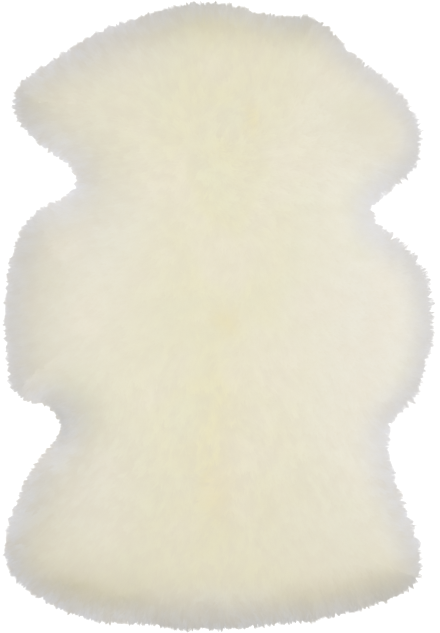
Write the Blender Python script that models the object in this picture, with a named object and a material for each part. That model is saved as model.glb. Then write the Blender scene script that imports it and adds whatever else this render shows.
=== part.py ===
"""A sheepskin rug, lying flat with its wool side up.

The rug is one tanned pelt: a thin hide and the wool that grows from it. Nothing is sewn on or fitted, so
both are one solid. The wool is a lumpy slab that rounds down to the floor all round and ends in locks.
Under it the hide is a flat plate with a cut edge, which lies a little inside the wool's own edge.

Metres, +Z up, +Y towards the neck, +X to the right as seen from above. The origin is on the floor, below
the middle of the footprint.
"""

import math
import random
from collections import namedtuple

import bmesh
import bpy
from mathutils import Matrix, Vector, kdtree, noise
from mathutils.geometry import delaunay_2d_cdt, interpolate_bezier

MM = 0.001

# The hide
HIDE_THICKNESS = 2.5 * MM
HIDE_INSET = 32 * MM  # from the wool slab's rim to the hide's cut edge

# The wool slab
WOOL_LOFT = 45 * MM  # floor to the mean top of the wool, away from the rim
RIM_HEIGHT = 14 * MM  # height of the slab where the locks leave it
RIM_WANDER = 3 * MM  # how far that height goes up and down along the rim
RIM_WANDER_SIZE = 57 * MM
SHOULDER = 70 * MM  # the wool rounds down to its rim over this width
SHOULDER_POWER = 2.3  # 2 is an ellipse, and more is squarer
WOOL_VAULT = 4 * MM  # how far the overhanging wool clears the floor beside the hide

# The lumps on the slab
CLUMP_SIZE = 38 * MM
CLUMP_RELIEF = 8 * MM  # the wool drops by this over one clump size from a clump's middle
CLUMP_MEAN = 0.45  # a point's mean distance to the nearest clump's middle, in clump sizes
SWELL_SIZE = 170 * MM
SWELL_RELIEF = 4 * MM

# The locks round the rim
LOCKS = 300
LOCK_OVERLAP = 5 * MM  # from the edge that shows in plan back to the slab's rim
LOCK_REACH_LEFT = 8 * MM  # mean length past the rim, on the left side
LOCK_REACH_RIGHT = 12 * MM  # and on the right side, where they stand out more
LOCK_UNEVEN = 0.4  # the share of its reach by which a lock is longer or shorter
HOLLOW_SPAN = 3  # locks to each side over which the rim's bend at a lock is read
HOLLOW_CUT = 0.6  # the share of its reach that a lock loses where the rim bends in by a radian
LOCK_LEAN = math.radians(14)  # the most that a lock turns sideways
LOCK_BEND = 0.5  # the share of its reach at which a lock has its middle ring
LOCK_BEND_WIDTH = 0.72  # that ring's width, as a share of the root's
LOCK_BEND_HEIGHT = 0.55  # and its height

# The mesh
GRID = 15 * MM  # spacing of the points on the slab's top
GRID_MARGIN = 9 * MM  # the least depth of such a point inside the rim
RIM_SAMPLES = 8  # points on each stretch of the rim from which that depth is measured
MERGE_DISTANCE = 0.001 * MM
CURVE_STEPS = 12  # points on each stretch of the outline's curve
INSET_STEP = 2 * MM
INSET_RELAX = 0.35  # share of its neighbours' mean that a point takes at each step
SEED = 11

# The pelt's edge as seen from above, in mm from the middle of the back. A row is one section across the
# pelt, from the neck down to the tail, and has a point on the left edge and a point on the right edge.
Section = namedtuple("Section", "place left_x left_y right_x right_y")
SECTIONS = (
    Section("neck", -62, 466, 8, 467),
    Section("nape", -127, 446, 83, 449),
    Section("neck corner", -194, 419, 139, 449),
    Section("shoulder", -247, 385, 199, 392),
    Section("fore leg, upper side", -299, 352, 271, 332),
    Section("fore leg, end", -314, 319, 299, 287),
    Section("fore leg, lower side", -287, 269, 296, 227),
    Section("elbow", -230, 226, 259, 190),
    Section("armpit", -212, 199, 226, 164),
    Section("first rib", -236, 178, 247, 127),
    Section("ribs", -284, 149, 290, 92),
    Section("belly, upper", -311, 97, 314, 40),
    Section("belly", -323, -13, 317, -32),
    Section("belly, lower", -316, -83, 299, -106),
    Section("belly corner", -308, -124, 274, -139),
    Section("groin", -257, -137, 256, -157),
    Section("flank", -238, -170, 251, -181),
    Section("thigh", -272, -212, 260, -238),
    Section("hind leg, upper side", -308, -281, 283, -305),
    Section("hind leg", -323, -350, 303, -367),
    Section("hind leg, end", -314, -391, 299, -400),
    Section("rump edge", -266, -425, 250, -427),
    Section("rump", -202, -455, 158, -454),
    Section("tail", -104, -463, 68, -464),
    Section("tail end", -44, -469, 8, -469),
)


def clear_scene():
    for obj in list(bpy.data.objects):
        bpy.data.objects.remove(obj)


def outline_curve():
    """The pelt's edge as a smooth closed loop, clockwise from the neck: down the right side, up the left."""
    right = [Vector((row.right_x, row.right_y)) * MM for row in SECTIONS]
    left = [Vector((row.left_x, row.left_y)) * MM for row in reversed(SECTIONS)]
    marks = right + left
    loop = []
    for i, here in enumerate(marks):
        before, after, beyond = marks[i - 1], marks[(i + 1) % len(marks)], marks[(i + 2) % len(marks)]
        handle = (after - here).length / 3  # the length that gives an even pace along the curve
        leave = here + (after - before).normalized() * handle
        arrive = after - (beyond - here).normalized() * handle
        loop += interpolate_bezier(here, leave, arrive, after, CURVE_STEPS)[:-1]
    return loop


def evenly_spaced(loop, count):
    """The same closed loop as count points, an equal way apart along it."""
    spans = [(loop[(i + 1) % len(loop)] - point).length for i, point in enumerate(loop)]
    step = sum(spans) / count
    found, walked, i = [], 0.0, 0
    for k in range(count):
        while walked + spans[i] < k * step:
            walked += spans[i]
            i += 1
        found.append(loop[i].lerp(loop[(i + 1) % len(loop)], (k * step - walked) / spans[i]))
    return found


def outward(ring, i):
    """The direction out of a clockwise ring at its point i."""
    along = (ring[(i + 1) % len(ring)] - ring[i - 1]).normalized()
    return Vector((-along.y, along.x))


def inset(ring, distance):
    """The ring drawn in by about distance. It relaxes at each step, so that tight corners don't fold over."""
    steps = math.ceil(distance / INSET_STEP)
    for _ in range(steps):
        moved = [point - outward(ring, i) * distance / steps for i, point in enumerate(ring)]
        means = [(moved[i - 1] + moved[(i + 1) % len(moved)]) / 2 for i in range(len(moved))]
        ring = [point.lerp(mean, INSET_RELAX) for point, mean in zip(moved, means)]
    return ring


def distance_finder(loop):
    """A function that gives a point's distance to the loop."""
    tree = kdtree.KDTree(len(loop))
    for i, point in enumerate(loop):
        tree.insert((*point, 0), i)
    tree.balance()
    return lambda point: tree.find((*point, 0))[2]


def inside(loop, point):
    """True if the point lies within the closed loop, by counting the sides that it passes under."""
    crossed = False
    for i, end in enumerate(loop):
        start = loop[i - 1]
        if (start.y > point.y) != (end.y > point.y):
            across = start.x + (point.y - start.y) * (end.x - start.x) / (end.y - start.y)
            crossed ^= point.x < across
    return crossed


def rim_height(point):
    return RIM_HEIGHT + RIM_WANDER * noise.noise((*(point / RIM_WANDER_SIZE), 0))


def wool_height(point, depth):
    """The height of the wool's top at a point that lies depth inside the rim."""
    across = 1 - min(depth / SHOULDER, 1)
    rounded = (1 - across**SHOULDER_POWER) ** (1 / SHOULDER_POWER)
    nearest = noise.voronoi((*(point / CLUMP_SIZE), 0))[0][0]
    clump = CLUMP_RELIEF * (CLUMP_MEAN - nearest)
    swell = SWELL_RELIEF * noise.noise((*(point / SWELL_SIZE), 0))
    rim = rim_height(point)
    return rim + (WOOL_LOFT + clump + swell - rim) * rounded


def grid_points(rim):
    """Points in even triangles all over the inside of the rim, each with its depth inside it."""
    depth_of = distance_finder(evenly_spaced(rim, RIM_SAMPLES * len(rim)))
    row_height = GRID * math.sqrt(3) / 2
    reach = max(point.length for point in rim)
    rows = math.ceil(reach / row_height)
    columns = math.ceil(reach / GRID)
    found = []
    for row in range(-rows, rows + 1):
        for column in range(-columns, columns + 1):
            point = Vector(((column + row % 2 / 2) * GRID, row * row_height))
            depth = depth_of(point)
            if depth > GRID_MARGIN and inside(rim, point):
                found.append((point, depth))
    return found


def add_ring(bm, ring, height):
    return [bm.verts.new((*point, height)) for point in ring]


def add_band(bm, ring, other):
    """The faces between two rings that have the same number of points."""
    for i in range(len(ring)):
        bm.faces.new((ring[i - 1], ring[i], other[i], other[i - 1]))


def add_wool_top(bm, rim, rim_verts):
    """The slab's lumpy top, in triangles, from the rim inwards."""
    grid = grid_points(rim)
    flat = rim + [point for point, _ in grid]
    verts = rim_verts + [bm.verts.new((*point, wool_height(point, depth))) for point, depth in grid]
    edges = [(i, (i + 1) % len(rim)) for i in range(len(rim))]
    inside_only = 1
    _, _, faces, origins, _, _ = delaunay_2d_cdt(flat, edges, [], inside_only, MERGE_DISTANCE)
    for face in faces:
        bm.faces.new([verts[origins[i][0]] for i in face])


def lock_reach(rim, i, dice):
    """How far lock i stands out: more on the right side, and less in a hollow, where locks would meet."""
    middle = (rim[i - 1] + rim[i]) / 2
    half_width = max(point.x for point in rim)
    rightness = (middle.x / half_width + 1) / 2
    reach = LOCK_REACH_LEFT + (LOCK_REACH_RIGHT - LOCK_REACH_LEFT) * rightness
    before = outward(rim, i - 1 - HOLLOW_SPAN)
    after = outward(rim, (i + HOLLOW_SPAN) % len(rim))
    hollow = min(max(-before.angle_signed(after, 0), 0), 1)
    return reach * (1 - HOLLOW_CUT * hollow) * (1 + dice.uniform(-LOCK_UNEVEN, LOCK_UNEVEN))


def add_lock(bm, root, way, reach):
    """A four-sided lock that lies on the floor. Its root is (bottom, bottom, top, top) of the slab's rim."""
    foot = (root[0].co + root[1].co) / 2
    bend = []
    for vert in root:
        across = Vector((*(vert.co - foot).xy, 0)) * LOCK_BEND_WIDTH
        height = vert.co.z * LOCK_BEND_HEIGHT
        out = way * reach * LOCK_BEND
        bend.append(bm.verts.new((foot.x + across.x + out.x, foot.y + across.y + out.y, height)))
    tip = bm.verts.new((foot.x + way.x * reach, foot.y + way.y * reach, 0))
    for i in range(4):
        bm.faces.new((root[i - 1], root[i], bend[i], bend[i - 1]))
        bm.faces.new((bend[i - 1], bend[i], tip))


def add_locks(bm, rim, bottom, top):
    """One lock for each stretch of the rim. Locks stand apart, and meet only along their roots."""
    dice = random.Random(SEED)
    for i in range(len(rim)):
        along = (rim[i] - rim[i - 1]).normalized()
        lean = Matrix.Rotation(dice.uniform(-LOCK_LEAN, LOCK_LEAN), 2)
        way = lean @ Vector((-along.y, along.x))
        add_lock(bm, (bottom[i - 1], bottom[i], top[i], top[i - 1]), way, lock_reach(rim, i, dice))


def centre_on_origin(bm):
    """Moves the pelt so that the middle of its footprint is above the origin."""
    xs = [vert.co.x for vert in bm.verts]
    ys = [vert.co.y for vert in bm.verts]
    middle = Vector(((min(xs) + max(xs)) / 2, (min(ys) + max(ys)) / 2, 0))
    bmesh.ops.translate(bm, vec=-middle, verts=bm.verts)


def wool_material():
    material = bpy.data.materials.new("ivory wool")
    material.use_nodes = True
    shader = material.node_tree.nodes["Principled BSDF"]
    shader.inputs["Base Color"].default_value = (0.86, 0.82, 0.66, 1)
    shader.inputs["Roughness"].default_value = 0.95
    shader.inputs["Metallic"].default_value = 0
    return material


def build_sheepskin():
    rim = evenly_spaced(inset(evenly_spaced(outline_curve(), LOCKS), LOCK_OVERLAP), LOCKS)
    hide = inset(rim, HIDE_INSET)
    bm = bmesh.new()
    rim_bottom = add_ring(bm, rim, 0)
    rim_top = [bm.verts.new((*point, rim_height(point))) for point in rim]
    vault = add_ring(bm, inset(rim, HIDE_INSET / 2), WOOL_VAULT)
    hide_top = add_ring(bm, hide, HIDE_THICKNESS)
    hide_bottom = add_ring(bm, hide, 0)
    add_locks(bm, rim, rim_bottom, rim_top)
    add_wool_top(bm, rim, rim_top)
    add_band(bm, rim_bottom, vault)
    add_band(bm, vault, hide_top)
    add_band(bm, hide_top, hide_bottom)
    bm.faces.new(hide_bottom)
    bmesh.ops.recalc_face_normals(bm, faces=bm.faces)
    centre_on_origin(bm)
    mesh = bpy.data.meshes.new("sheepskin")
    bm.to_mesh(mesh)
    bm.free()
    mesh.materials.append(wool_material())
    sheepskin = bpy.data.objects.new("sheepskin", mesh)
    bpy.context.scene.collection.objects.link(sheepskin)


clear_scene()
build_sheepskin()
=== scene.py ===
"""The looks of a sheepskin rug: a combed fleece of wool tufts over the pelt's solid, and its suede hide.

Lengths are in metres. The rug lies on z = 0 with its neck towards +y and its spine along x = 0. The wool is
made of small closed tufts, joined into a few meshes. They are shaded with normals that follow the fleece's
broad form, and what a tuft's colour depends on is stored with its points.
"""

import math

import bmesh
import bpy
import numpy as np
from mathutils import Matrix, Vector, geometry, kdtree


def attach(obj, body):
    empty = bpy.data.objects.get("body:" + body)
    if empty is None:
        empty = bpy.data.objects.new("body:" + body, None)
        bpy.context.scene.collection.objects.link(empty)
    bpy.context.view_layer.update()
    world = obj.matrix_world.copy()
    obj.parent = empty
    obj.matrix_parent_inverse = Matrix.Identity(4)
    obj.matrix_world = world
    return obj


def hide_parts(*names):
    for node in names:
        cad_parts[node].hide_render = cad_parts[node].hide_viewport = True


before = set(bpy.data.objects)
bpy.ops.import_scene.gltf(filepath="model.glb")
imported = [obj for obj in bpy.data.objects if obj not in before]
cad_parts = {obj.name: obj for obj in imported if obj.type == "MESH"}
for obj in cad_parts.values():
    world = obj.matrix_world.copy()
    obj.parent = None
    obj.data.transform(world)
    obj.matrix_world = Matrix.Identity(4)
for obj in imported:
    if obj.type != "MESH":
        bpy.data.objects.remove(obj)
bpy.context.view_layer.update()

MM = 0.001
UP = np.array([0.0, 0.0, 1.0])
LEAST_LENGTH = 1e-9
DRAWS_SEED = 5
rng = np.random.default_rng(DRAWS_SEED)

# the core under the tufts
CORE_VOXEL = 8 * MM
CORE_STEPS = 4
CORE_SMOOTHING = 16
CORE_SOFTNESS = 0.5
CORE_INSET = 7 * MM
CORE_FLOOR = 3 * MM
CORE_HEIGHT = 0.8
CORE_DOWNWARD = -0.5

# the solid's underside and foot
MERGE = 0.01 * MM
PLATE_LEVEL = 0.2 * MM
PLATE_DOWNWARD = -0.99
FOOT_DOWNWARD = -0.9
FOOT_CORNER = -0.95
FOOT_OFF_PLATE = 15 * MM

# the rim, evened out
EVENING_REACH = 14 * MM
BULGE_REACH = 70 * MM
BULGE_STRENGTH = 0.8

# what changes from side to side, and towards the neck and tail
SIDE_TURN = (-0.20, 0.20)
END_TURN = (0.30, 0.45)
END_EASE = 0.5
END_EASE_TURN = (-0.05, -0.20)

# the tufts
PIECES = 5
TUFTS = 25000
TUFT_LENGTH = 16 * MM
TUFT_UNEVEN = 0.3
TUFT_WIDTH = 1.7 * MM
TUFT_BURIED = 3 * MM
TUFT_RIDGE = 0.45
TUFT_ROLL = 0.15
WIDTH_UNEVEN = 0.2
UNEVEN_LIMIT = 1.5
BEND_AT = 0.45
BEND_SPAN = (0.30, 0.65)
PAST_BEND = 0.60
ROOT_FLOW = 0.85
ROOT_RISE = 0.35
ROOT_STRAY = 0.1
TIP_FLOW = 1.0
TIP_RISE = 0.15
TIP_STRAY = 0.12
TIP_DROOP = 0.35
CLUMPS = 9375
CLUMPING = 0.4
SHORTEST = 0.15
LEAST_REACH = 0.1 * MM

# the tufts near the rim and underneath
RIM_BAND = 45 * MM
RIM_DENSITY = 0.8
RIM_THIN = 0.4
RIM_LOOSE = 0.6
RIM_FLOW_OUT = 0.5
RIM_SET_BACK = 3 * MM
RIM_RAGGED = 5 * MM
OVERHANG = -0.35
UNDER_DENSITY = 0.5

# the thin wisps that stand out of the rim
WISPS = 26000
WISP_LENGTH = 24 * MM
WISP_UNEVEN = 0.35
WISP_WIDTH = 0.55 * MM
WISP_THIN = 0.3
WISP_RISE = 0.3
WISP_DROOP = 0.1
WISP_FLOW = 0.6
WISP_STRAY = 0.15
WISP_CLUMPS = 10187
WISP_CLUMPING = 0.8
WISP_RAGGED = 4 * MM
WISP_WALL = (-0.30, 0.60)
WISP_TOP = 25 * MM
FRINGE_LEFT = (-0.0015, 0.0050)
FRINGE_RIGHT = (0.0000, 0.0100)
FRINGE_ENDS = (-0.0015, 0.0050)
TOOTH_FINE = 3 * MM
TOOTH_WIDE = 5 * MM
TOOTH_SMALL = 1.5 * MM
TOOTH_SMALL_SHARE = 0.6

# the way the wool is combed
COMB_SPREAD = 0.22
COMB_POWER = 1.3
NECK_COMB = (0.24, 0.40)
TAIL_COMB = (0.26, -0.20)
RIM_COMB = 0.6
RIM_COMB_BAND = (60 * MM, 10 * MM)
BROAD_SWIRL = 110 * MM
BROAD_SWIRL_SHARE = 0.35
FINE_SWIRL = 30 * MM
FINE_SWIRL_SHARE = 0.25
SPINE_SWIRL = 45 * MM
SPINE_SWIRL_SHARE = 1.2
SPINE_WIDTH = 0.09

# the shading of the fleece's broad form: the lean in radians, where it starts and ends, and how much it rests
ROUND_IN = 88 * MM
ROUND_OUT = 10 * MM
ROUND_LEFT = (0.52, 0.150, 0.020, 0.40)
ROUND_RIGHT = (0.71, 0.092, 0.010, 0.25)
ROUND_ENDS = (0.80, 0.150, 0.000, 0.03)
ROUND_REST = (28 * MM, 4 * MM)
ROUND_STRENGTH = (0.5, 1.5)
UNDERNEATH = (-0.35, -0.75)
SHADE_RELIEF = 0.7
OWN_SHADE = 0.06
FACING = 0.35
FACING_PULL = 1.6

# streaks and mottles in the wool's colour
STREAK_WIDTH = 6 * MM
STREAK_LENGTH = 40 * MM
STREAK_LONG = 0.2
FINE_STREAK_WIDTH = 4 * MM
FINE_STREAK_LENGTH = 12 * MM
STREAK_SHORT = 0.15
STREAK_STEPS = 7
STREAK_GAIN = 2
STREAK_TAIL = 1.6
STREAK_TAIL_TURN = (0.0, -0.3)
STREAK_NECK = 0.8
STREAK_NECK_TURN = (0.10, 0.25)
STREAK_CALM = 0.45
STREAK_CALM_TURN = (0.0, 0.18)
MOTTLE_CELL = 12 * MM
MOTTLE = 0.36
FINE_MOTTLE_CELL = 6 * MM
FINE_MOTTLE = 0.2

# the wool's colours, and the patches, each with its centre, its radii and its share there
SPINE_COLOUR = (0.80, 0.765, 0.555)
# the flanks' wool is whiter than the spine's, and the right flank is painted lighter than the left: painted
# light from the right
LEFT_FLANK_SHADED = (0.785, 0.76, 0.65)
RIGHT_FLANK_LIT = (0.83, 0.81, 0.73)
SHADE_TO_LIGHT_ACROSS = (-0.15, 0.20)
SPINE_FADE = 0.28
BLOTCH_CELL = 60 * MM
BLOTCH_TURN = (0.35, 0.65)
BLOTCH_SHARE = 0.25
STAIN_COLOUR = (0.80, 0.71, 0.40)
STAIN_EDGE = 14 * MM
STAIN_EDGE_REACH = 22 * MM
STAINS = (
    ((0.047, 0.294), (0.026, 0.040), 0.45),
    ((0.010, -0.008), (0.035, 0.032), 0.45),
    ((-0.004, -0.262), (0.030, 0.055), 0.45),
    ((-0.002, -0.262), (0.045, 0.080), 0.45),
    ((-0.006, -0.170), (0.065, 0.170), 0.24),
)
PINK_COLOUR = (0.83, 0.77, 0.66)
GREEN_COLOUR = (0.77, 0.77, 0.60)
DRIFT_CELL = 75 * MM
DRIFT_TURN = 0.22
DRIFT_SHARE = 0.4
# painted shade: the wool is painted darker and warmer towards the neck and the tail, and on the right foreleg
END_SHADE_COLOUR = (0.68, 0.64, 0.48)
NECK_FADE = (0.18, 0.42)
NECK_SHARE = 0.3
TAIL_FADE = (-0.10, -0.42)
TAIL_SHARE = 0.45
TAIL_COLOUR = (0.66, 0.60, 0.44)
TAIL_CORNER_FADE = (-0.33, -0.43)
TAIL_CORNER_SIDE = (0.04, 0.22)
TAIL_CORNER_SHARE = 0.35
BROWN_COLOUR = (0.58, 0.54, 0.37)
BROWN_PATCHES = (
    ((-0.228, -0.405), (0.085, 0.028), 0.55),
    ((-0.155, -0.427), (0.085, 0.022), 0.55),
)
# painted shade: a grey shadow painted on the left flank's notch and at its rim, and a darker spot on the
# right foreleg
FLANK_SHADE_COLOUR = (0.55, 0.54, 0.50)
FLANK_SHADE = ((-0.232, -0.150), (0.075, 0.070), 0.6)
FLANK_RIM_SHADE = ((-0.252, -0.160), (0.050, 0.062), 0.8)
FORELEG_SHADE = ((0.235, 0.285), (0.100, 0.090), 0.4)
RIM_COLOUR = (0.79, 0.79, 0.825)
RIM_FADE = (0.25, 0.95)
NECK_YELLOW = 0.2
NECK_YELLOW_FADE = (0.30, 0.42)
TAIL_YELLOW = 0.15
TAIL_YELLOW_FADE = (-0.34, -0.42)
YELLOW_SIDE = (-0.24, -0.02)
YELLOW_LEAST = 0.15
CLEAN_COLOUR = (0.80, 0.78, 0.80)
CLEAN_PATCHES = (
    ((-0.170, 0.410), (0.150, 0.100), 0.45),
    ((-0.010, -0.434), (0.160, 0.050), 0.40),
    ((-0.160, 0.130), (0.110, 0.140), 0.25),
    ((-0.190, -0.270), (0.110, 0.130), 0.15),
)
DULL_PATCH = ((0.250, -0.408), (0.085, 0.055), 0.28)
# painted light: a lighter patch on the neck's left that lifts the fleece's shade there
PAINTED_LIGHT_COLOUR = (0.90, 0.90, 0.92)
PAINTED_LIGHT_PATCH = ((-0.125, 0.462), (0.120, 0.055), 0.40)
# the roots are yellower, and also darker as painted shade in place of the shadows that the tufts don't cast
ROOT_TINT_AND_SHADE = (0.74, 0.66, 0.44)
ROOT_TINT_AND_SHADE_SHARE = 0.3
ROOT_FADE = 0.7
STREAK_COLOUR = (0.70, 0.64, 0.52)
STREAK_SHARE = 0.42

# the hide
HIDE_THICKNESS = 2.4 * MM
HIDE_CELL = 9 * MM
HIDE_CLEAR = 0.7 * HIDE_CELL
HIDE_EXACTNESS = 1e-6
HIDE_WAVE = 0.5 * MM
HIDE_WAVE_CELL = 45 * MM
HIDE_WAVE_RIM = 20 * MM
HIDE_COLOURS = ((0.72, 0.63, 0.49), (0.80, 0.73, 0.60))
HIDE_BLOTCH_CELL = 70 * MM
HIDE_BLOTCH_TURN = (0.3, 0.7)
NAP_COLOUR = (0.62, 0.53, 0.40)
NAP_CELL = 1.2 * MM
NAP_SHARE = 0.3
NAP_HEIGHT = 0.4 * MM
NAP_ROUGHNESS = (0.8, 0.95)
NAP_ROUGHNESS_TURN = (0.2, 0.8)

# the noises: their lattice, and their seeds, of which a swirl takes its own and the next
LATTICE = 256
LATTICE_START = 97.3
BROAD_SWIRL_SEED = 1
FINE_SWIRL_SEED = 3
SPINE_SWIRL_SEED = 5
STREAK_SEED = 8
FINE_STREAK_SEED = 9
MOTTLE_SEED = 10
FINE_MOTTLE_SEED = 11
TOOTH_FINE_SEED = 12
TOOTH_SMALL_SEED = 13
TOOTH_WIDE_SEED = 14
HIDE_SEED = 21

# the light and the camera
WORLD_LIGHT = 0.15
WORLD_BELOW = 0.3
HORIZON = (-0.1, 0.1)
KEY_LIGHT = 2.85
KEY_ANGLE = 80
KEY_FROM = (0.15, 0.05, 1)
BOUNCES = 12
DIFFUSE_BOUNCES = 8
FLOOR_SIZE = 30
FLOOR_COLOUR = (0.9, 0.9, 0.9, 1)
FLOOR_GLOW = 0.35
BACKDROP_RADIUS = 14
WHITE = (1, 1, 1, 1)
BLACK = (0, 0, 0, 1)
PHOTO_WIDTH, PHOTO_HEIGHT = 440, 633
PHOTO_CENTRE = (219, 316)
PIXEL = 1.5 * MM
LENS = 135
FILM = 36
VIEW_DEPTH = 20


def new_object(name, mesh):
    """An object of this mesh, in the scene."""
    obj = bpy.data.objects.new(name, mesh)
    bpy.context.scene.collection.objects.link(obj)
    return obj


def mesh_arrays(mesh):
    """A mesh's points, vertex normals and triangles as arrays."""
    points = np.empty(len(mesh.vertices) * 3, np.float32)
    mesh.vertices.foreach_get("co", points)
    normals = np.empty(len(mesh.vertices) * 3, np.float32)
    mesh.vertex_normals.foreach_get("vector", normals)
    mesh.calc_loop_triangles()
    triangles = np.empty(len(mesh.loop_triangles) * 3, np.int32)
    mesh.loop_triangles.foreach_get("vertices", triangles)
    return points.reshape(-1, 3).astype(float), normals.reshape(-1, 3).astype(float), triangles.reshape(-1, 3)


def unit(vectors):
    """Vectors of the same directions with a length of 1."""
    return vectors / np.maximum(np.linalg.norm(vectors, axis=-1, keepdims=True), LEAST_LENGTH)


def along(vectors, axis):
    """The part of each vector that lies along its axis, a unit vector."""
    return axis * (vectors * axis).sum(-1, keepdims=True)


def flat(points):
    """Points or vectors without their height."""
    return points * (1, 1, 0)


def smoothstep(value, start, end):
    """A smooth step from 0 at start to 1 at end, which may be below start."""
    part = np.clip((value - start) / (end - start), 0, 1)
    return part * part * (3 - 2 * part)


def smooth_noise(points, cell, seed):
    """Even noise between about -1 and 1 over the floor plane, with bumps the size of a cell."""
    lattice = np.random.default_rng(seed).uniform(-1, 1, (LATTICE, LATTICE))
    place = points[:, :2] / cell + LATTICE_START
    corner = np.floor(place).astype(int)
    part = place - corner
    part = part * part * (3 - 2 * part)
    column, row = corner[:, 0] % (LATTICE - 1), corner[:, 1] % (LATTICE - 1)
    low = lattice[row, column] * (1 - part[:, 0]) + lattice[row, column + 1] * part[:, 0]
    high = lattice[row + 1, column] * (1 - part[:, 0]) + lattice[row + 1, column + 1] * part[:, 0]
    return low * (1 - part[:, 1]) + high * part[:, 1]


def uneven(count):
    """Random numbers about 0, with no outliers."""
    return rng.normal(size=count).clip(-UNEVEN_LIMIT, UNEVEN_LIMIT)


def tree_of(points):
    """A tree that finds the nearest of these points."""
    tree = kdtree.KDTree(len(points))
    for index, point in enumerate(points):
        tree.insert(point, index)
    tree.balance()
    return tree


def by_region(points, left, right, ends):
    """A number that is one thing on the left, another on the right, and a third at the neck and tail."""
    x, y = points[:, 0], np.abs(points[:, 1])
    sides = left + (right - left) * smoothstep(x, *SIDE_TURN)
    share = smoothstep(y, *END_TURN) * (1 - END_EASE * smoothstep(x, *END_EASE_TURN))
    return sides + (ends - sides) * share


# ---- the core ----

def keep_largest_island(mesh):
    """Remove the crumbs that drawing in leaves of the solid's thinnest locks."""
    solid = bmesh.new()
    solid.from_mesh(mesh)
    left, largest = set(solid.verts), set()
    while left:
        start = left.pop()
        island, ahead = {start}, [start]
        while ahead:
            vert = ahead.pop()
            found = {edge.other_vert(vert) for edge in vert.link_edges} - island
            island |= found
            ahead += found
        left -= island
        largest = max(largest, island, key=len)
    bmesh.ops.delete(solid, geom=[vert for vert in solid.verts if vert not in largest])
    solid.to_mesh(mesh)
    solid.free()


def drawn_in(pelt):
    """The pelt's mesh, evened out and drawn in a little at a time."""
    core = new_object("undercoat", pelt.copy())
    even = core.modifiers.new("even", "REMESH")
    even.mode = "VOXEL"
    even.voxel_size = CORE_VOXEL
    for _ in range(CORE_STEPS):
        soft = core.modifiers.new("soft", "SMOOTH")
        soft.factor = CORE_SOFTNESS
        soft.iterations = CORE_SMOOTHING
        drawn = core.modifiers.new("drawn in", "DISPLACE")
        drawn.mid_level = 0
        drawn.strength = -CORE_INSET / CORE_STEPS
    bpy.context.view_layer.update()
    graph = bpy.context.evaluated_depsgraph_get()
    mesh = bpy.data.meshes.new_from_object(core.evaluated_get(graph))
    core.modifiers.clear()
    core.data = mesh
    return core


def wool_core(pelt, rim):
    """The undercoat that shows between the tufts, flat underneath and shaded as the fleece is."""
    core = drawn_in(pelt)
    mesh = core.data
    keep_largest_island(mesh)
    points, normals, _ = mesh_arrays(mesh)
    points[normals[:, 2] < CORE_DOWNWARD, 2] = CORE_FLOOR
    points[:, 2] = np.maximum(points[:, 2], CORE_FLOOR)
    mesh.vertices.foreach_set("co", points.astype(np.float32).ravel())
    mesh.update()
    mesh.shade_smooth()
    points, normals, _ = mesh_arrays(mesh)
    shade, edge = shading(points, normals, *rim.nearest(points))
    shade_core(mesh, shade)
    set_shades(mesh, np.full(len(points), CORE_HEIGHT), edge, np.zeros(len(points)))
    return core


def shade_core(mesh, shade):
    """Give the corners of the core's faces the fleece's normals."""
    at = np.empty(len(mesh.loops), np.int32)
    mesh.loops.foreach_get("vertex_index", at)
    faces = np.empty(len(mesh.polygons) * 3, np.float32)
    mesh.polygon_normals.foreach_get("vector", faces)
    corners = np.empty(len(mesh.polygons), np.int32)
    mesh.polygons.foreach_get("loop_total", corners)
    mesh.normals_split_custom_set(facing(shade[at], np.repeat(faces.reshape(-1, 3), corners, 0)))


# ---- the outline ----

def merged(mesh):
    """A mesh with its doubled points merged, to be freed after use."""
    solid = bmesh.new()
    solid.from_mesh(mesh)
    bmesh.ops.remove_doubles(solid, verts=solid.verts, dist=MERGE)
    return solid


def plate_faces(solid):
    """The connected faces of the solid's flat underside about the origin."""
    under = {face for face in solid.faces
             if face.normal.z < PLATE_DOWNWARD and abs(face.calc_center_median().z) < PLATE_LEVEL}
    start = min(under, key=lambda face: face.calc_center_median().length)
    plate, ahead = {start}, [start]
    while ahead:
        face = ahead.pop()
        found = {other for edge in face.edges for other in edge.link_faces} & under - plate
        plate |= found
        ahead += found
    return plate


def plate_outline(mesh):
    """The outline of the solid's flat underside, in order, as (x, y) points."""
    solid = merged(mesh)
    plate = plate_faces(solid)
    following = {}
    for face in plate:
        for corner in face.loops:
            if not set(corner.edge.link_faces) - {face} & plate:
                following[corner.vert] = corner.link_loop_next.vert
    line = [min(following, key=lambda vert: tuple(vert.co))]
    while following[line[-1]] != line[0]:
        line.append(following[line[-1]])
    outline = np.array([vert.co[:2] for vert in line])
    solid.free()
    return outline[::-1]


def gap_to(points, outline):
    """How far each point is from the nearest of the outline's points, seen from above."""
    return np.linalg.norm(points[:, None, :2] - outline, axis=2).min(1)


def inside(points, outline):
    """Whether each point is inside the outline, seen from above."""
    start, end = outline, np.roll(outline, -1, 0)
    x, y = points[:, None, 0], points[:, None, 1]
    crosses = (start[:, 1] > y) != (end[:, 1] > y)
    rise = end[:, 1] - start[:, 1]
    reach = start[:, 0] + (y - start[:, 1]) * (end[:, 0] - start[:, 0]) / np.where(rise == 0, 1, rise)
    return (crosses & (x < reach)).sum(1) % 2 == 1


def pelt_foot(mesh, plate):
    """The outer foot of the pelt's solid, as points and the normals there."""
    solid = merged(mesh)
    foot = set()
    for edge in solid.edges:
        down = [face.normal.z < FOOT_DOWNWARD for face in edge.link_faces]
        if any(down) and not all(down):
            foot.update(vert for vert in edge.verts if vert.normal.z > FOOT_CORNER)
    foot = sorted(foot, key=lambda vert: tuple(vert.co))
    points = np.array([vert.co for vert in foot])
    normals = np.array([vert.normal for vert in foot])
    solid.free()
    outer = gap_to(points, plate) > FOOT_OFF_PLATE
    return points[outer], normals[outer]


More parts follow.
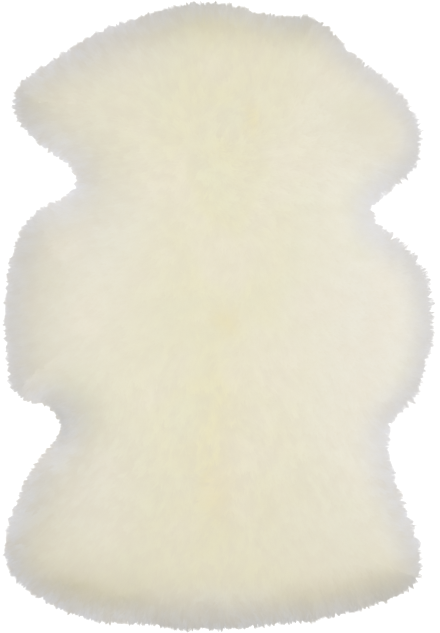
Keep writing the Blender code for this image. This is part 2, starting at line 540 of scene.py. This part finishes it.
class Rim:
    """The rug's outline, evened out: how far points are from it, and how it bulges there."""

    def __init__(self, pelt, plate):
        points, normals = pelt_foot(pelt, plate)
        around = self.neighbours(points, EVENING_REACH)
        self.line = flat(np.array([points[own].mean(0) for own in around]))
        self.outward = unit(flat(np.array([normals[own].mean(0) for own in around])))
        self.tree = tree_of(self.line)
        around = self.neighbours(self.line, BULGE_REACH)
        bulge = np.array([(point - self.line[own].mean(0)) @ way
                          for point, way, own in zip(self.line, self.outward, around)])
        around = self.neighbours(self.line, BULGE_REACH / 2)
        self.bulge = np.array([bulge[own].mean() for own in around]) / BULGE_REACH

    @staticmethod
    def neighbours(points, reach):
        """For each point, the numbers of the points within reach of it."""
        tree = tree_of(points)
        return [[index for _, index, _ in tree.find_range(point, reach)] for point in points]

    def find(self, points):
        """The number of the outline's point that is nearest to each point, seen from above."""
        return np.array([self.tree.find(point)[1] for point in flat(points)])

    def nearest(self, points):
        """How far each point is from the outline, the level direction to it, and the outline's bulge there.

        The bulge is above 0 at a corner and below 0 in a notch.
        """
        found = self.find(points)
        way = self.line[found] - flat(points)
        return np.linalg.norm(way, axis=1), unit(way), self.bulge[found]

    def beyond(self, points):
        """How far each point is outside the outline."""
        found = self.find(points)
        return ((flat(points) - self.line[found]) * self.outward[found]).sum(1)


# ---- the fleece's form, seen from above ----

def comb(points, away, out):
    """The way the wool lies: out from the spine at the sides, and along it at the neck and over the tail."""
    x, y = points[:, 0], points[:, 1]
    sideways = np.sign(x) * (np.abs(x) / COMB_SPREAD) ** COMB_POWER
    lengthways = smoothstep(y, *NECK_COMB) - smoothstep(y, *TAIL_COMB)
    way = np.stack([sideways, lengthways, np.zeros_like(x)], 1)
    way = unit(way) + out * (RIM_COMB * smoothstep(away, *RIM_COMB_BAND))[:, None]
    spine = SPINE_SWIRL_SHARE * smoothstep(np.abs(x), SPINE_WIDTH, 0)
    swirls = ((BROAD_SWIRL, BROAD_SWIRL_SHARE, BROAD_SWIRL_SEED), (SPINE_SWIRL, spine, SPINE_SWIRL_SEED),
              (FINE_SWIRL, FINE_SWIRL_SHARE, FINE_SWIRL_SEED))
    for cell, share, seed in swirls:
        way[:, 0] += share * smooth_noise(points, cell, seed)
        way[:, 1] += share * smooth_noise(points, cell, seed + 1)
    return unit(way)


def drawn_noise(points, way, cell, length, seed):
    """Noise drawn out along the comb, between about -1 and 1."""
    steps = np.linspace(-1, 1, STREAK_STEPS) * length / 2
    drawn = sum(smooth_noise(points + way * step, cell, seed) for step in steps)
    return drawn / STREAK_STEPS * STREAK_GAIN


def streak_strength(points):
    """How strong the streaks are: stronger towards the tail and the neck, and fainter on the right."""
    x, y = points[:, 0], points[:, 1]
    ends = STREAK_TAIL * smoothstep(y, *STREAK_TAIL_TURN) + STREAK_NECK * smoothstep(y, *STREAK_NECK_TURN)
    return (1 + ends) * (1 - STREAK_CALM * smoothstep(x, *STREAK_CALM_TURN))


def streaks(points, way):
    """Long and short streaks along the comb with mottles between them."""
    long = drawn_noise(points, way, STREAK_WIDTH, STREAK_LENGTH, STREAK_SEED)
    short = drawn_noise(points, way, FINE_STREAK_WIDTH, FINE_STREAK_LENGTH, FINE_STREAK_SEED)
    mottle = smooth_noise(points, MOTTLE_CELL, MOTTLE_SEED)
    fine = smooth_noise(points, FINE_MOTTLE_CELL, FINE_MOTTLE_SEED)
    level = STREAK_LONG * long + STREAK_SHORT * short + MOTTLE * mottle + FINE_MOTTLE * fine
    return level * streak_strength(points)


def rounding(points, away, out, bulge):
    """The fleece's own broad form: upright in the middle, and leaning outward towards the rim."""
    regions = zip(ROUND_LEFT, ROUND_RIGHT, ROUND_ENDS)
    steep, start, end, rest = (by_region(points, *values) for values in regions)
    strength = np.clip(1 + BULGE_STRENGTH * bulge, *ROUND_STRENGTH)
    strength *= 1 - rest * smoothstep(away, *ROUND_REST)
    steep = steep * strength * smoothstep(away, start, end)
    return UP * np.cos(steep)[:, None] + out * np.sin(steep)[:, None]


def shading(points, normals, away, out, bulge):
    """The normals that the fleece is shaded with, and how near the rim each point is, from 0 to 1."""
    inner = normals * (1 - smoothstep(away, ROUND_IN, ROUND_OUT))[:, None]
    shade = unit(SHADE_RELIEF * inner + rounding(points, away, out, bulge))
    shade[:, 2] *= 1 - 2 * smoothstep(normals[:, 2], *UNDERNEATH)
    return unit(shade), np.clip(1 - away / ROUND_IN, 0, 1)


def facing(shades, faces):
    """The fleece's normals at the corners of faces, bent over to each face that turns away from them."""
    turned = (shades * faces).sum(-1, keepdims=True)
    return unit(shades + faces * np.maximum(FACING - turned, 0) * FACING_PULL).reshape(-1, 3).tolist()


# ---- the tufts ----

def scatter(points, normals, triangles, weight, count):
    """Evenly spread places on the triangles, each weighted by its weight, and the smooth normals there."""
    corners = [points[triangles[:, k]] for k in range(3)]
    cross = np.cross(corners[1] - corners[0], corners[2] - corners[0])
    total = np.cumsum(np.linalg.norm(cross, axis=1) * weight)
    at = (np.arange(count) + rng.random(count)) / count * total[-1]
    chosen = np.searchsorted(total, at)
    first = np.sqrt(rng.random(count))[:, None]
    second = rng.random(count)[:, None]
    shares = 1 - first, first * (1 - second), first * second
    place = sum(share * corners[k][chosen] for k, share in enumerate(shares))
    normal = unit(sum(share * normals[triangles[chosen, k]] for k, share in enumerate(shares)))
    return place, normal


def gather(tips, roots, pull, clumps):
    """Draw each tip towards the tip of its clump's middle tuft."""
    middle = rng.permutation(len(roots))[:clumps]
    tree = tree_of(roots[middle])
    own = np.array([tree.find(root)[1] for root in roots])
    return tips + (tips[middle][own] - tips) * np.reshape(pull, (-1, 1))


def shorten(root, bend, tip, limit, rim):
    """Draw bends and tips back towards their roots where tips reach past their limit outside the outline."""
    inner, outer = rim.beyond(root), rim.beyond(tip)
    share = np.clip((limit - inner) / np.maximum(outer - inner, LEAST_REACH), SHORTEST, 1)
    share = np.where(outer > limit, share, 1)[:, None]
    return root + (bend - root) * share, root + (tip - root) * share


def bundle(root, normal, bend, tip, width, place):
    """Tufts from their roots, bends and tips, with what their colour needs."""
    away, out, bulge = place
    shade, edge = shading(root, normal, away, out, bulge)
    streak = streaks(root, comb(root, away, out))
    root = root - normal * TUFT_BURIED
    length = np.linalg.norm(tip - root, axis=1, keepdims=True)
    axis = unit(tip - root)
    reach = ((bend - root) * axis).sum(1, keepdims=True)
    low, high = BEND_SPAN
    bend = bend + axis * (np.clip(reach, low * length, high * length) - reach)
    return {"root": root, "bend": bend, "tip": tip, "width": width, "shade": shade, "edge": edge,
            "streak": streak}


def grown(root, lean_root, lean_tip, length):
    """The bends and tips of tufts that leave their roots one way and turn another way at their bends."""
    bend = root + lean_root * (length * BEND_AT)[:, None]
    return bend, bend + lean_tip * (length * PAST_BEND)[:, None]


def fleece(root, normal, rim):
    """The tufts all over the rug."""
    count = len(root)
    place = rim.nearest(root)
    near = np.clip(1 - place[0] / RIM_BAND, 0, 1)
    way = comb(root, *place[:2])
    flow = way - along(way, normal)
    lean_root = unit(ROOT_RISE * normal + ROOT_FLOW * flow + ROOT_STRAY * rng.normal(size=(count, 3)))
    droop = -UP * np.clip(1 - normal[:, 2:], 0, 1)
    outward = unit(flat(normal)) * near[:, None]
    lean_tip = TIP_RISE * normal + TIP_FLOW * flow + TIP_DROOP * droop + RIM_FLOW_OUT * outward
    lean_tip = unit(lean_tip + TIP_STRAY * rng.normal(size=(count, 3)))
    length = TUFT_LENGTH * (1 + TUFT_UNEVEN * uneven(count))
    bend, tip = grown(root, lean_root, lean_tip, length)
    tip = gather(tip, root, CLUMPING * (1 - RIM_LOOSE * near), CLUMPS)
    bend, tip = shorten(root, bend, tip, -RIM_SET_BACK - RIM_RAGGED * rng.random(count), rim)
    width = TUFT_WIDTH * (1 + WIDTH_UNEVEN * uneven(count)) * (1 - RIM_THIN * near ** 2)
    return bundle(root, normal, bend, tip, width, place)


def fringe_reach(points):
    """How far the rim's wisps reach past the outline, with a pointed tooth every few millimetres."""
    low, high = (by_region(points, *values) for values in zip(FRINGE_LEFT, FRINGE_RIGHT, FRINGE_ENDS))
    small = TOOTH_SMALL_SHARE * smooth_noise(points, TOOTH_SMALL, TOOTH_SMALL_SEED)
    fine = smooth_noise(points, TOOTH_FINE, TOOTH_FINE_SEED) + small
    wide = smooth_noise(points, TOOTH_WIDE, TOOTH_WIDE_SEED) + small
    tooth = by_region(points, fine, wide, fine)
    return low + (high - low) * np.clip(0.5 + 0.5 * tooth, 0, 1)


def wisps(root, normal, rim):
    """The thin pointed wisps that stand out of the rim."""
    count = len(root)
    place = rim.nearest(root)
    outward = unit(flat(normal))
    lean_root = unit(outward + WISP_RISE * UP + WISP_STRAY * rng.normal(size=(count, 3)))
    flow = WISP_FLOW * comb(root, *place[:2])
    lean_tip = unit(outward + flow - WISP_DROOP * UP + WISP_STRAY * rng.normal(size=(count, 3)))
    length = WISP_LENGTH * (1 + WISP_UNEVEN * uneven(count))
    bend, tip = grown(root, lean_root, lean_tip, length)
    _, crossing = shorten(root, bend, tip, np.zeros(count), rim)
    behind = rng.random(count)
    bend, tip = shorten(root, bend, tip, fringe_reach(crossing) - WISP_RAGGED * behind, rim)
    tip = gather(tip, root, WISP_CLUMPING, WISP_CLUMPS)
    width = WISP_WIDTH * (1 + WIDTH_UNEVEN * uneven(count)) * (1 - WISP_THIN * (1 - behind))
    return bundle(root, normal, bend, tip, width, place)


# ---- the tufts' meshes: each tuft has a root, three points round its bend, and a tip ----

TUFT_POINTS = 5
TUFT_FACES = np.array([(0, 2, 1), (0, 3, 2), (0, 1, 3), (4, 1, 2), (4, 2, 3), (4, 3, 1)])
TUFT_UV = np.array([(0.5, 0.05), (0.05, 0.45), (0.5, 0.5), (0.95, 0.45), (0.5, 0.95)])
LOWEST = np.array([1.2, 0.5, 1.6, 0.5, 0.6]) * MM


def in_rows(points, side):
    """The order that lays points out in rows, like the cells of a square grid with this many a side."""
    order = np.argsort(points[:, 1])
    rows = [order[k:k + side] for k in range(0, len(order), side)]
    return np.concatenate([row[np.argsort(points[row, 0])] for row in rows])


def tuft_corners(tufts):
    """The five points of each tuft, slightly flattened and no lower than they may lie."""
    axis = unit(tufts["tip"] - tufts["root"])
    top = unit(tufts["shade"] + TUFT_ROLL * rng.normal(size=axis.shape))
    top = unit(top - along(top, axis))
    across = np.cross(axis, top)
    width = tufts["width"][:, None]
    left = tufts["bend"] - across * width
    ridge = tufts["bend"] + top * width * TUFT_RIDGE
    right = tufts["bend"] + across * width
    corners = np.stack([tufts["root"], left, ridge, right, tufts["tip"]], 1)
    corners[..., 2] = np.maximum(corners[..., 2], LOWEST)
    return corners


def tuft_shades(mesh, corners, shade):
    """A normal for each corner of the tufts' faces."""
    _, own, _ = mesh_arrays(mesh)
    own = own.reshape(-1, TUFT_POINTS, 3)[:, TUFT_FACES]
    first, second, third = (corners[:, TUFT_FACES[:, k]] for k in range(3))
    faces = unit(np.cross(second - first, third - first))[:, :, None, :]
    return facing(unit(shade[:, None, None, :] * (1 - OWN_SHADE) + own * OWN_SHADE), faces)


def triangle_mesh(name, points, faces):
    """A mesh of these points and triangles."""
    mesh = bpy.data.meshes.new(name)
    mesh.vertices.add(len(points))
    mesh.vertices.foreach_set("co", points.astype(np.float32).ravel())
    mesh.loops.add(faces.size)
    mesh.loops.foreach_set("vertex_index", faces.astype(np.int32).ravel())
    mesh.polygons.add(len(faces))
    mesh.polygons.foreach_set("loop_start", np.arange(0, faces.size, 3, dtype=np.int32))
    mesh.polygons.foreach_set("loop_total", np.full(len(faces), 3, np.int32))
    mesh.update(calc_edges=True)
    mesh.shade_smooth()
    return mesh


def tuft_mesh(name, tufts):
    """One mesh of closed, pointed tufts, shaded after the fleece's own form, each in a cell of the UVs."""
    count = len(tufts["root"])
    side = math.ceil(math.sqrt(count))
    order = in_rows(tufts["root"], side)
    tufts = {key: value[order] for key, value in tufts.items()}
    corners = tuft_corners(tufts)
    cell = np.arange(count)
    faces = (TUFT_FACES + TUFT_POINTS * cell[:, None, None]).reshape(-1, 3)
    mesh = triangle_mesh(name, corners.reshape(-1, 3), faces)
    mesh.normals_split_custom_set(tuft_shades(mesh, corners, tufts["shade"]))
    place = np.stack([cell % side, cell // side], 1)
    uv = (place[:, None, None, :] + TUFT_UV[TUFT_FACES]) / side
    mesh.uv_layers.new(name="OFBake").data.foreach_set("uv", uv.astype(np.float32).ravel())
    height = np.tile([0, BEND_AT, BEND_AT, BEND_AT, 1], count)
    edge, streak = (np.repeat(tufts[key], TUFT_POINTS) for key in ("edge", "streak"))
    set_shades(mesh, height, edge, streak)
    return mesh


def set_shades(mesh, height, edge, streak):
    """Store what the wool's colour depends on: how far up a tuft, how near the rim, and its streak."""
    for name, values in (("height", height), ("edge", edge), ("streak", streak)):
        attribute = mesh.attributes.new(name, "FLOAT", "POINT")
        attribute.data.foreach_set("value", np.asarray(values, np.float32))


# ---- the materials ----

class Nodes:
    """A short way to write a material's node tree."""

    def __init__(self, name):
        self.material = bpy.data.materials.new(name)
        self.material.use_nodes = True
        self.tree = self.material.node_tree
        self.shader = self.tree.nodes["Principled BSDF"]

    def finish(self, **values):
        """Set the shader's sockets, which are named with _ for a space, to numbers, colours or outputs."""
        for name, value in values.items():
            self.put(self.shader.inputs[name.replace("_", " ")], value)
        return self.material

    def put(self, socket, value):
        """Link a socket to an output, or set it to a number or colour."""
        if isinstance(value, bpy.types.NodeSocket):
            self.tree.links.new(value, socket)
        elif hasattr(value, "__len__") and len(value) == 3 and socket.type == "RGBA":
            socket.default_value = (*value, 1)
        else:
            socket.default_value = value

    def node(self, kind, **values):
        """A node of this kind, with its inputs set or linked by their names."""
        node = self.tree.nodes.new(kind)
        for name, value in values.items():
            self.put(node.inputs[name.replace("_", " ")], value)
        return node

    def position(self):
        """The place in the object's own space."""
        return self.node("ShaderNodeTexCoord").outputs["Object"]

    def split(self, vector):
        """The x and y of a vector."""
        node = self.node("ShaderNodeSeparateXYZ", Vector=vector)
        return node.outputs["X"], node.outputs["Y"]

    def attribute(self, name):
        """A number that is stored with the mesh's points."""
        node = self.node("ShaderNodeAttribute")
        node.attribute_name = name
        return node.outputs["Fac"]

    def math(self, operation, first, second=0.0):
        """A sum, product or the like of two numbers."""
        node = self.node("ShaderNodeMath")
        node.operation = operation
        self.put(node.inputs[0], first)
        self.put(node.inputs[1], second)
        return node.outputs[0]

    def vector(self, operation, first, second):
        """A sum, product or the like of two vectors."""
        node = self.node("ShaderNodeVectorMath")
        node.operation = operation
        self.put(node.inputs[0], first)
        self.put(node.inputs[1], second)
        return node

    def ramp(self, value, start, end, low=0.0, high=1.0):
        """A smooth step from low at start to high at end."""
        ends = {"From_Min": start, "From_Max": end, "To_Min": low, "To_Max": high}
        node = self.node("ShaderNodeMapRange", Value=value, **ends)
        node.interpolation_type = "SMOOTHSTEP"
        return node.outputs[0]

    def noise(self, vector, size, detail=2.0):
        """Noise from 0 to 1 with bumps of this size."""
        return self.node("ShaderNodeTexNoise", Vector=vector, Scale=1 / size, Detail=detail).outputs["Fac"]

    def jolted(self, place, size, reach):
        """A place moved about by noise of this size, so that what is painted there has a ragged edge."""
        noise = self.node("ShaderNodeTexNoise", Vector=place, Scale=1 / size).outputs["Color"]
        level = self.vector("SUBTRACT", noise, (0.5, 0.5, 0.5)).outputs[0]
        jolt = self.vector("MULTIPLY", level, (reach, reach, 0)).outputs[0]
        return self.vector("ADD", place, jolt).outputs[0]

    def spot(self, place, patch):
        """A soft oval patch: its share at its centre, and 0 past its radii."""
        centre, radii, share = patch
        level = self.vector("SUBTRACT", place, (*centre, 0)).outputs[0]
        level = self.vector("MULTIPLY", level, (1 / radii[0], 1 / radii[1], 0)).outputs[0]
        away = self.vector("DISTANCE", level, (0, 0, 0)).outputs["Value"]
        return self.ramp(away, 1.0, 0.0, 0.0, share)

    def mix(self, share, first, second):
        """The first colour with a share of the second."""
        node = self.node("ShaderNodeMix")
        node.data_type = "RGBA"
        self.put(node.inputs["Factor"], share)
        self.put(node.inputs["A"], first)
        self.put(node.inputs["B"], second)
        return node.outputs["Result"]


def spine_and_flanks(n, place, x):
    """Cream along the spine and whiter on the flanks, the right flank painted lighter than the left as
    painted light, and a little blotchy.
    """
    flank = n.mix(n.ramp(x, *SHADE_TO_LIGHT_ACROSS), LEFT_FLANK_SHADED, RIGHT_FLANK_LIT)
    colour = n.mix(n.ramp(n.math("ABSOLUTE", x), 0.0, SPINE_FADE), SPINE_COLOUR, flank)
    blotch = n.ramp(n.noise(place, BLOTCH_CELL), *BLOTCH_TURN)
    return n.mix(n.math("MULTIPLY", blotch, BLOTCH_SHARE), colour, flank)


def with_stains(n, colour, rough_place):
    """The yellow stains along the spine."""
    for stain in STAINS:
        colour = n.mix(n.spot(rough_place, stain), colour, STAIN_COLOUR)
    return colour


def with_drifts(n, colour, place):
    """Broad drifts of a pinker and a greener white."""
    drift = n.noise(place, DRIFT_CELL, 1.0)
    colour = n.mix(n.ramp(drift, 0.5, 0.5 + DRIFT_TURN, 0.0, DRIFT_SHARE), colour, PINK_COLOUR)
    return n.mix(n.ramp(drift, 0.5, 0.5 - DRIFT_TURN, 0.0, DRIFT_SHARE), colour, GREEN_COLOUR)


def with_end_shade(n, colour, x, y):
    """Painted shade that darkens the wool, with a warmer tint, towards the neck and the tail; darkest and
    brownest in the tail's corners.
    """
    ends = n.math("MAXIMUM", n.ramp(y, *NECK_FADE, 0.0, NECK_SHARE), n.ramp(y, *TAIL_FADE, 0.0, TAIL_SHARE))
    colour = n.mix(ends, colour, END_SHADE_COLOUR)
    side = n.ramp(n.math("ABSOLUTE", x), *TAIL_CORNER_SIDE)
    corner = n.math("MULTIPLY", n.ramp(y, *TAIL_CORNER_FADE), side)
    return n.mix(n.math("MULTIPLY", corner, TAIL_CORNER_SHARE), colour, TAIL_COLOUR)


def with_brown_and_shade_patches(n, colour, place, rough_place):
    """The brown edge of the tail, and painted shade on the left flank and on the right foreleg."""
    for patch in BROWN_PATCHES:
        colour = n.mix(n.spot(rough_place, patch), colour, BROWN_COLOUR)
    colour = n.mix(n.spot(rough_place, FLANK_SHADE), colour, FLANK_SHADE_COLOUR)
    return n.mix(n.spot(place, FORELEG_SHADE), colour, END_SHADE_COLOUR)


def with_rim(n, colour, x, y, rough_place):
    """The clean wool of the rim, less clean at the neck and tail, and painted shade at the left flank's rim.
    """
    neck = n.ramp(y, *NECK_YELLOW_FADE, 0.0, NECK_YELLOW)
    yellow = n.math("MAXIMUM", neck, n.ramp(y, *TAIL_YELLOW_FADE, 0.0, TAIL_YELLOW))
    yellow = n.math("MULTIPLY", yellow, n.ramp(x, *YELLOW_SIDE, YELLOW_LEAST, 1.0))
    edge = n.ramp(n.attribute("edge"), *RIM_FADE)
    colour = n.mix(n.math("SUBTRACT", edge, yellow), colour, RIM_COLOUR)
    return n.mix(n.spot(rough_place, FLANK_RIM_SHADE), colour, FLANK_SHADE_COLOUR)


def with_clean_and_lit_patches(n, colour, place):
    """Whiter wool on the neck's left, the left armpit and thigh and the tail's middle, painted light on the
    neck's left, and a dull corner.
    """
    for patch in CLEAN_PATCHES:
        colour = n.mix(n.spot(place, patch), colour, CLEAN_COLOUR)
    colour = n.mix(n.spot(place, PAINTED_LIGHT_PATCH), colour, PAINTED_LIGHT_COLOUR)
    return n.mix(n.spot(place, DULL_PATCH), colour, BROWN_COLOUR)


def with_roots(n, colour):
    """Yellower wool at the tufts' roots, darkened there as painted shade too, and duller wool in the dark
    streaks.
    """
    root = n.ramp(n.attribute("height"), ROOT_FADE, 0.0, 0.0, ROOT_TINT_AND_SHADE_SHARE)
    colour = n.mix(root, colour, ROOT_TINT_AND_SHADE)
    return n.mix(n.ramp(n.attribute("streak"), 1.0, -1.0, 0.0, STREAK_SHARE), colour, STREAK_COLOUR)


def wool_material():
    """Matt undyed wool, cream on the spine and white at the rim, with stains, drifts and streaks, and painted
    light and shade in places.
    """
    n = Nodes("wool")
    place = n.position()
    x, y = n.split(place)
    rough_place = n.jolted(place, STAIN_EDGE, STAIN_EDGE_REACH)
    colour = spine_and_flanks(n, place, x)
    colour = with_stains(n, colour, rough_place)
    colour = with_drifts(n, colour, place)
    colour = with_end_shade(n, colour, x, y)
    colour = with_brown_and_shade_patches(n, colour, place, rough_place)
    colour = with_rim(n, colour, x, y, rough_place)
    colour = with_clean_and_lit_patches(n, colour, place)
    colour = with_roots(n, colour)
    return n.finish(Base_Color=colour, Roughness=0.9, Specular_IOR_Level=0.15)


def suede_material():
    """The pelt's flesh side: pale suede with a fine nap."""
    n = Nodes("suede")
    place = n.position()
    blotch = n.ramp(n.noise(place, HIDE_BLOTCH_CELL, 3.0), *HIDE_BLOTCH_TURN)
    nap = n.noise(place, NAP_CELL, 3.0)
    colour = n.mix(n.math("MULTIPLY", nap, NAP_SHARE), n.mix(blotch, *HIDE_COLOURS), NAP_COLOUR)
    bump = n.node("ShaderNodeBump", Strength=0.5, Distance=NAP_HEIGHT, Height=nap)
    roughness = n.ramp(nap, *NAP_ROUGHNESS_TURN, *NAP_ROUGHNESS)
    return n.finish(Base_Color=colour, Roughness=roughness, Normal=bump.outputs[0], Specular_IOR_Level=0.2,
                    Sheen_Weight=0.25, Sheen_Roughness=0.5)


# ---- the hide ----

def filled(outline):
    """Points on the outline and on a grid inside it, and the triangles between them."""
    columns, rows = (np.arange(low, high, HIDE_CELL) for low, high in zip(outline.min(0), outline.max(0)))
    grid = np.stack(np.meshgrid(columns, rows), -1).reshape(-1, 2)
    grid = grid[inside(grid, outline)]
    grid = grid[gap_to(grid, outline) > HIDE_CLEAR]
    line = list(range(len(outline)))
    edges = list(zip(line, line[1:] + line[:1]))
    where = [Vector(point) for point in np.concatenate([outline, grid])]
    points, _, faces, *_ = geometry.delaunay_2d_cdt(where, edges, [], 1, HIDE_EXACTNESS)
    return np.array(points), [tuple(face) for face in faces]


def hide_wave(points, outline):
    """The low waves of the hide's flesh side, which die out at its edge."""
    wave = 0.5 + 0.5 * smooth_noise(points, HIDE_WAVE_CELL, HIDE_SEED)
    return wave * np.clip(gap_to(points, outline) / HIDE_WAVE_RIM, 0, 1) * HIDE_WAVE


def hide_sheet(outline):
    """The hide as one thin closed sheet, and the area of its upper side."""
    points, faces = filled(outline)
    count = len(points)
    under = np.column_stack([points, hide_wave(points, outline)])
    over = np.column_stack([points, np.full(count, HIDE_THICKNESS)])
    pairs = {pair for face in faces for pair in zip(face, face[1:] + face[:1])}
    walls = [(a, b, b + count, a + count) for a, b in sorted(pairs) if (b, a) not in pairs]
    upper = [tuple(corner + count for corner in face) for face in faces]
    mesh = bpy.data.meshes.new("hide")
    mesh.from_pydata(np.concatenate([under, over]).tolist(), [], faces + upper + walls)
    solid = bmesh.new()
    solid.from_mesh(mesh)
    bmesh.ops.recalc_face_normals(solid, faces=solid.faces)
    solid.to_mesh(mesh)
    solid.free()
    area = sum(face.area for face in mesh.polygons[len(faces):2 * len(faces)])
    return new_object("hide", mesh), area


# ---- the pieces ----

def densities(points, triangles, rim, outline):
    """How densely the tufts and the rim's wisps stand on each of the core's triangles."""
    first, second, third = (points[triangles[:, k]] for k in range(3))
    up = unit(np.cross(second - first, third - first))[:, 2]
    middle = points[triangles].mean(1)
    near = np.clip(1 - rim.nearest(points)[0] / RIM_BAND, 0, 1)[triangles].mean(1)
    over = (up > OVERHANG) * (1 + RIM_DENSITY * near ** 2)
    under = UNDER_DENSITY * ((up <= OVERHANG) & ~inside(middle, outline))
    low, high = WISP_WALL
    wall = (low < up) & (up < high) & (middle[:, 2] < WISP_TOP)
    return over + under, wall


def belongs(piece, material):
    """Give a piece its material, and let it ride on the rug's one body."""
    piece.data.materials.clear()
    piece.data.materials.append(material)
    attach(piece, "root")


def tuft_piece(name, tufts, wool):
    """One piece of tufts, which leaves shadows and reflected light to the core."""
    piece = new_object(name, tuft_mesh(name, tufts))
    piece.visible_shadow = False
    piece.visible_diffuse = False
    belongs(piece, wool)
    return piece


def wool_pieces(pelt, outline):
    """The core, the tufts all over it and the wisps round its rim."""
    rim = Rim(pelt, outline)
    core = wool_core(pelt, rim)
    points, normals, triangles = mesh_arrays(core.data)
    all_over, wall = densities(points, triangles, rim, outline)
    tufts = fleece(*scatter(points, normals, triangles, all_over, PIECES * TUFTS), rim)
    fringe = wisps(*scatter(points, normals, triangles, wall, WISPS), rim)
    wool = wool_material()
    belongs(core, wool)
    pieces = [core]
    for k in range(PIECES):
        share = {key: value[k::PIECES] for key, value in tufts.items()}
        pieces.append(tuft_piece(f"tufts_{k + 1}", share, wool))
    pieces.append(tuft_piece("rim_wisps", fringe, wool))
    return pieces


def rug():
    """The wool and the hide under it."""
    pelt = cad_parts["sheepskin"].data
    outline = plate_outline(pelt)
    pieces = wool_pieces(pelt, outline)
    hide, area = hide_sheet(outline)
    belongs(hide, suede_material())
    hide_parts("sheepskin")


# ---- the floor, the backdrop, the light and the camera ----

def glowing(name, colour, strength):
    """A matt material with a white glow."""
    return Nodes(name).finish(Base_Color=colour, Roughness=1.0, Specular_IOR_Level=0.0, Emission_Color=WHITE,
                              Emission_Strength=strength)


def floor():
    """A plain white floor, which throws neither shade nor light on the rug."""
    bpy.ops.mesh.primitive_plane_add(size=FLOOR_SIZE)
    plane = bpy.context.object
    plane.name = "floor"
    plane.data.materials.append(glowing("floor", FLOOR_COLOUR, FLOOR_GLOW))
    plane.visible_diffuse = False
    plane.visible_shadow = False


def backdrop():
    """A white dome round the rug and the floor, which the rug's light passes through."""
    bpy.ops.mesh.primitive_uv_sphere_add(radius=BACKDROP_RADIUS)
    dome = bpy.context.object
    dome.name = "backdrop"
    dome.data.materials.append(glowing("backdrop", BLACK, 1.0))
    dome.visible_shadow = False
    dome.visible_diffuse = False
    dome.visible_glossy = False


def sky_light():
    """Soft white light from all round, fainter from below."""
    scene = bpy.context.scene
    scene.world = scene.world or bpy.data.worlds.new("studio")
    scene.world.use_nodes = True
    tree = scene.world.node_tree
    background = tree.nodes["Background"]
    background.inputs["Strength"].default_value = WORLD_LIGHT
    place = tree.nodes.new("ShaderNodeTexCoord")
    split = tree.nodes.new("ShaderNodeSeparateXYZ")
    ramp = tree.nodes.new("ShaderNodeMapRange")
    ramp.inputs["From Min"].default_value, ramp.inputs["From Max"].default_value = HORIZON
    ramp.inputs["To Min"].default_value = WORLD_BELOW
    tree.links.new(place.outputs["Generated"], split.inputs[0])
    tree.links.new(split.outputs["Z"], ramp.inputs["Value"])
    tree.links.new(ramp.outputs[0], background.inputs["Color"])


def key_light():
    """One broad soft light from overhead."""
    light = bpy.data.lights.new("key", "SUN")
    light.energy = KEY_LIGHT
    light.angle = math.radians(KEY_ANGLE)
    key = new_object("key", light)
    key.rotation_mode = "QUATERNION"
    key.rotation_quaternion = Vector(KEY_FROM).to_track_quat("Z", "Y")


def camera():
    """A camera that looks straight down from far away, as the photograph does."""
    view = bpy.data.cameras.new("camera")
    view.lens = LENS
    view.sensor_width = FILM
    view.clip_end = VIEW_DEPTH
    obj = new_object("camera", view)
    across, down = PHOTO_CENTRE
    height = LENS / FILM * PHOTO_HEIGHT * PIXEL
    obj.location = ((PHOTO_WIDTH / 2 - across) * PIXEL, (down - PHOTO_HEIGHT / 2) * PIXEL, height)
    bpy.context.scene.camera = obj


def picture():
    """How light bounces and how it is shown."""
    scene = bpy.context.scene
    scene.cycles.max_bounces = BOUNCES
    scene.cycles.diffuse_bounces = DIFFUSE_BOUNCES
    scene.view_settings.view_transform = "Standard"
    scene.view_settings.look = "None"


rug()
floor()
backdrop()
sky_light()
key_light()
camera()
picture()
